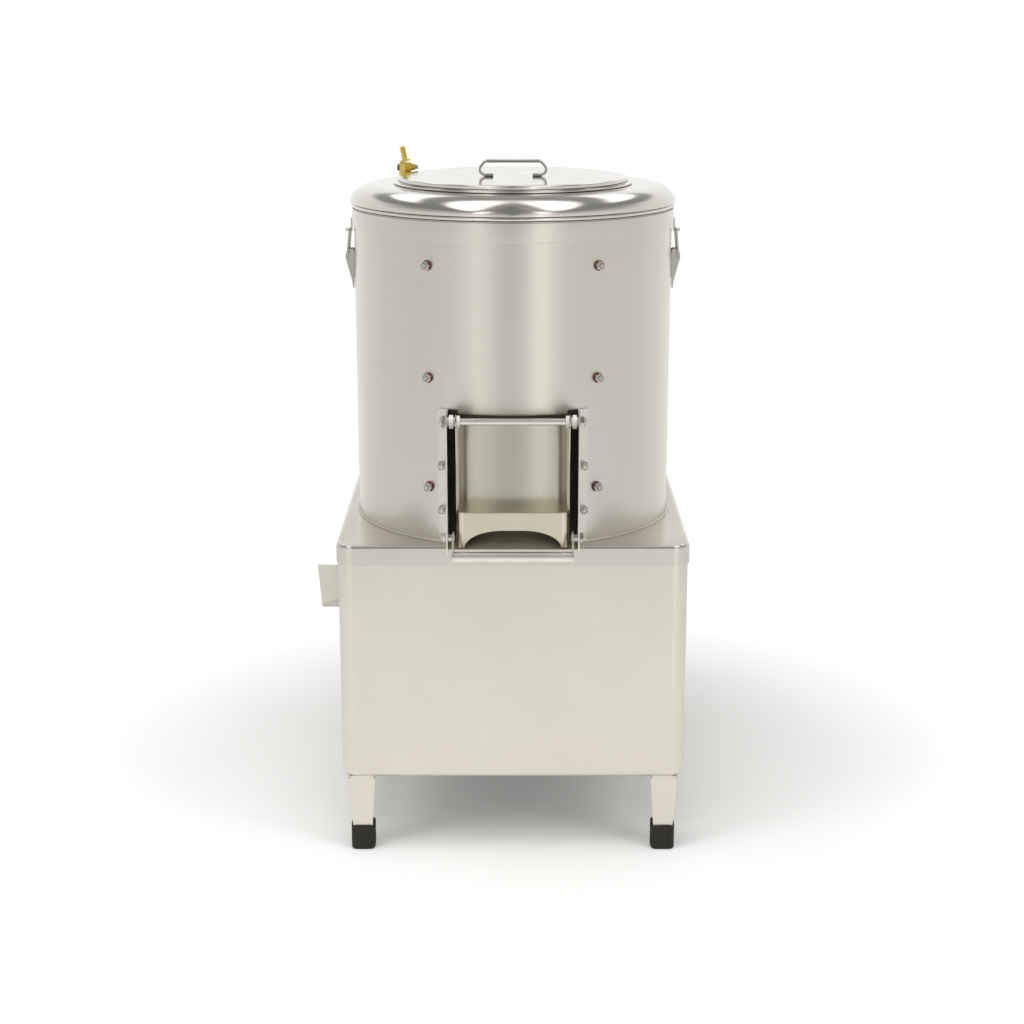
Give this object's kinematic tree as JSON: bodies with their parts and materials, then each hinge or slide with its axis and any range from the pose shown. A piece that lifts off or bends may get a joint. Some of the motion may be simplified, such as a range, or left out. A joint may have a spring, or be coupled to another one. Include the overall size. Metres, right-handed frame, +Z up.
{
  "type": "electric potato peeler",
  "caption": "Floor-standing catering potato peeler: an abrasive drum on a motor cabinet, with a latched cover, a lift-off lid, a front discharge door and a swinging bail.",
  "frame": {"origin": "on the floor, under the middle of the object's bounding box at rest", "axes": "+Z up, -Y towards the front where the discharge door is, +X to the right of someone facing the front"},
  "size_m": [0.4502, 0.6402, 0.8384],
  "materials": {
    "drum_steel": "satin, brushed round the drum",
    "cabinet_steel": "satin, fine brushed",
    "polished_steel": "polished stainless steel",
    "bright_fastener": "bright stainless steel",
    "brass": "turned brass, slightly dull",
    "black_rubber": "matte black rubber",
    "red_fibre": "vulcanised fibre, matte dark red",
    "white_nylon": "natural white nylon",
    "black_plastic": "semi-gloss black plastic",
    "silver_plastic": "metallised plastic, bright",
    "abrasive_lining": "coarse resin-bonded grit",
    "abrasive_disc": "cast plate coated with coarse grit",
    "cast_iron": "painted casting",
    "motor_paint": "semi-gloss enamel",
    "cast_aluminium": "as cast, machined groove",
    "belt_rubber": "matte black V-belt",
    "ground_steel": "ground bar"
  },
  "bodies": {
    "frame": {"base_top": "cabinet_steel", "base_shell": "cabinet_steel", "rear_panel": "cabinet_steel", "rear_panel_screws": "bright_fastener", "cable_gland": "black_plastic", "frame_bolts": "bright_fastener", "drum_shell": "drum_steel", "drum_floor": "drum_steel", "drain_spigot": "drum_steel", "lining_left": "abrasive_lining", "lining_right": "abrasive_lining", "lining_bolts": "bright_fastener", "lining_washers": "red_fibre", "lining_nuts": "bright_fastener", "cover": "polished_steel", "cover_seal": "black_rubber", "latch_strikes": "bright_fastener", "latch_bases": "bright_fastener", "latch_pins": "bright_fastener", "inlet_nipple": "brass", "valve_body": "brass", "valve_cap": "black_plastic", "hose_tail": "brass", "cheek_left": "cabinet_steel", "cheek_right": "cabinet_steel", "outlet_gasket": "black_rubber", "chute": "cabinet_steel", "flange_studs": "bright_fastener", "dome_nuts": "bright_fastener", "hinge_rod": "bright_fastener", "outer_bushes": "white_nylon", "bail_bolts": "bright_fastener", "bearing_housing": "cast_iron", "bearings": "ground_steel", "drive_belt": "belt_rubber", "motor": "motor_paint", "motor_plate": "cabinet_steel", "timer_body": "black_plastic", "legs": "cabinet_steel", "feet": "black_rubber"},
    "lid": {"lid": "polished_steel", "lid_handle": "polished_steel"},
    "door": {"door_panel": "drum_steel", "door_hood": "cabinet_steel", "inner_bushes": "white_nylon"},
    "bail": {"bail_arms": "cabinet_steel", "bail_tube": "bright_fastener"},
    "latch_lever_right": {"latch_lever_right": "bright_fastener"},
    "latch_loop_right": {"latch_loop_right": "bright_fastener"},
    "latch_lever_left": {"latch_lever_left": "bright_fastener"},
    "latch_loop_left": {"latch_loop_left": "bright_fastener"},
    "disc": {"abrasive_disc": "abrasive_disc", "disc_nut": "bright_fastener", "main_shaft": "ground_steel", "main_pulley": "cast_aluminium"},
    "motor_rotor": {"motor_pulley": "cast_aluminium", "motor_shaft": "ground_steel"},
    "timer": {"timer_knob": "silver_plastic", "timer_shaft": "ground_steel"},
    "valve_spindle": {"valve_spindle": "bright_fastener"}
  },
  "joints": [
    {"name": "lid_lift", "type": "slide", "parent": "frame", "child": "lid", "axis": [0, 0, 1], "range_m": [0, 0.15]},
    {"name": "door_swing", "type": "hinge", "parent": "frame", "child": "door", "pos_m": [0.01468, -0.27727, 0.548], "axis": [-1, 0, 0], "range_deg": [0, 95]},
    {"name": "bail_swing", "type": "hinge", "parent": "frame", "child": "bail", "pos_m": [0.01468, -0.28828, 0.413], "axis": [-1, 0, 0], "range_deg": [0, 95]},
    {"name": "latch_lever_right_turn", "type": "hinge", "parent": "frame", "child": "latch_lever_right", "pos_m": [0.21488, -0.06227, 0.718], "axis": [0, -1, 0], "range_deg": [0, 130]},
    {"name": "latch_loop_right_turn", "type": "hinge", "parent": "latch_lever_right", "child": "latch_loop_right", "pos_m": [0.21848, -0.06227, 0.7125], "axis": [0, -1, 0], "range_deg": [-136.5, 0]},
    {"name": "latch_lever_left_turn", "type": "hinge", "parent": "frame", "child": "latch_lever_left", "pos_m": [-0.18552, -0.06227, 0.718], "axis": [0, 1, 0], "range_deg": [0, 130]},
    {"name": "latch_loop_left_turn", "type": "hinge", "parent": "latch_lever_left", "child": "latch_loop_left", "pos_m": [-0.18912, -0.06227, 0.7125], "axis": [0, 1, 0], "range_deg": [-136.5, 0]},
    {"name": "disc_spin", "type": "hinge", "parent": "frame", "child": "disc", "pos_m": [0.01468, -0.06227, 0.43], "axis": [0, 0, 1], "continuous": true},
    {"name": "motor_spin", "type": "hinge", "parent": "frame", "child": "motor_rotor", "pos_m": [0.01468, 0.17272, 0.16], "axis": [0, 0, 1], "continuous": true},
    {"name": "timer_turn", "type": "hinge", "parent": "frame", "child": "timer", "pos_m": [-0.19517, -0.18227, 0.322], "axis": [1, 0, 0], "range_deg": [0, 300]},
    {"name": "valve_turn", "type": "hinge", "parent": "frame", "child": "valve_spindle", "pos_m": [-0.10983, 0.03773, 0.81215], "axis": [1, 0, 0], "range_deg": [0, 90]}
  ],
  "couplings": [
    {"joint": "latch_loop_right_turn", "follows": "latch_lever_right_turn", "ratio": -1.05},
    {"joint": "latch_loop_left_turn", "follows": "latch_lever_left_turn", "ratio": -1.05},
    {"joint": "motor_spin", "follows": "disc_spin", "ratio": 3.8}
  ]
}
